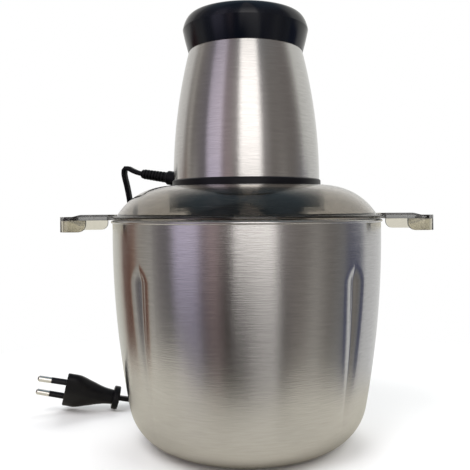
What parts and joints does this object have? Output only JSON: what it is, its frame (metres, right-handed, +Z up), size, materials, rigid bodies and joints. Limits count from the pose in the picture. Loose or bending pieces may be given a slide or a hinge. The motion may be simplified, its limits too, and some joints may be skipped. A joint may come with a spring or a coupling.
{
  "type": "electric food chopper",
  "caption": "Tall steel chopping bowl with pressed grooves, smoky domed lid with two ears, steel motor head with black cap, sickle blades, flat mains cord and plug.",
  "frame": {"origin": "on the table below the axis of the bowl", "axes": "+Z up along the bowl and motor axis, X through the two ears of the lid, the cord leaves towards -X"},
  "size_m": [0.2534, 0.2358, 0.2571],
  "materials": {
    "brushed_steel": "brushed",
    "bright_steel": "polished",
    "smoky_plastic": "see-through, glossy",
    "silicone": "satin",
    "white_plastic": "satin",
    "black_plastic": "satin",
    "black_gloss": "glossy",
    "button_plastic": "satin",
    "black_rubber": "satin",
    "rubber": "matte",
    "bronze": "turned",
    "brass": "satin",
    "copper": "varnished wire",
    "aluminium": "cast",
    "lamination": "stamped sheets",
    "carbon": "matte",
    "yellow_plastic": "glossy",
    "nickel": "nickel plated"
  },
  "bodies": {
    "bowl": {"bowl": "brushed_steel", "bowl_pin": "bright_steel"},
    "lid": {"lid": "smoky_plastic", "lid_gasket": "silicone", "collar_seal": "silicone"},
    "blade_set": {"blade_spindle": "white_plastic", "spindle_bush": "bronze", "lower_blade": "bright_steel", "blade_spacer": "white_plastic", "upper_blade": "bright_steel", "blade_nut": "white_plastic"},
    "head": {"head_base": "black_plastic", "sleeve": "brushed_steel", "top_cap": "black_gloss", "lower_bracket": "aluminium", "upper_bracket": "aluminium", "stator_core": "lamination", "field_coils": "copper", "lower_bearing": "bright_steel", "upper_bearing": "bright_steel", "brush_holders": "brass", "carbon_brushes": "carbon", "brush_springs": "bright_steel", "motor_screws": "bright_steel", "base_screws": "bright_steel", "rubber_mounts": "rubber", "shaft_seal": "rubber", "switch_carrier": "black_plastic", "carrier_screws": "bright_steel", "switch_bodies": "black_plastic", "button_spring_low": "bright_steel", "button_spring_high": "bright_steel", "speed_diode": "black_plastic", "suppression_capacitor": "yellow_plastic", "cord_clamp": "black_plastic", "clamp_screw": "bright_steel", "strain_relief": "black_rubber", "cord_drop": "black_rubber", "cord_coil": "black_rubber", "cord_tail": "black_rubber", "cord_tie": "black_plastic", "plug_body": "black_rubber", "plug_pins": "nickel", "pin_sleeves": "black_plastic"},
    "rotor": {"motor_shaft": "bright_steel", "rotor_core": "lamination", "armature_winding": "copper", "commutator": "brass", "cooling_fan": "white_plastic", "drive_dog": "black_plastic"},
    "low_button": {"button_low": "button_plastic"},
    "high_button": {"button_high": "button_plastic"}
  },
  "joints": [
    {"name": "lid_lift", "type": "slide", "parent": "bowl", "child": "lid", "axis": [0, 0, 1], "range_m": [0, 0.12]},
    {"name": "blade_spin", "type": "hinge", "parent": "bowl", "child": "blade_set", "pos_m": [0, 0, 0.03], "axis": [0, 0, 1], "continuous": true},
    {"name": "head_lift", "type": "slide", "parent": "lid", "child": "head", "axis": [0, 0, 1], "range_m": [0, 0.06]},
    {"name": "motor_spin", "type": "hinge", "parent": "head", "child": "rotor", "pos_m": [0, 0, 0.2], "axis": [0, 0, 1], "continuous": true},
    {"name": "low_button_press", "type": "slide", "parent": "head", "child": "low_button", "axis": [0, 0, -1], "range_m": [0, 0.003], "stiffness_N_per_m": 300, "springref_m": -0.001, "deforming": ["button_spring_low"]},
    {"name": "high_button_press", "type": "slide", "parent": "head", "child": "high_button", "axis": [0, 0, -1], "range_m": [0, 0.003], "stiffness_N_per_m": 300, "springref_m": -0.001, "deforming": ["button_spring_high"]}
  ],
  "couplings": [
    {"joint": "blade_spin", "follows": "motor_spin", "ratio": 1}
  ]
}
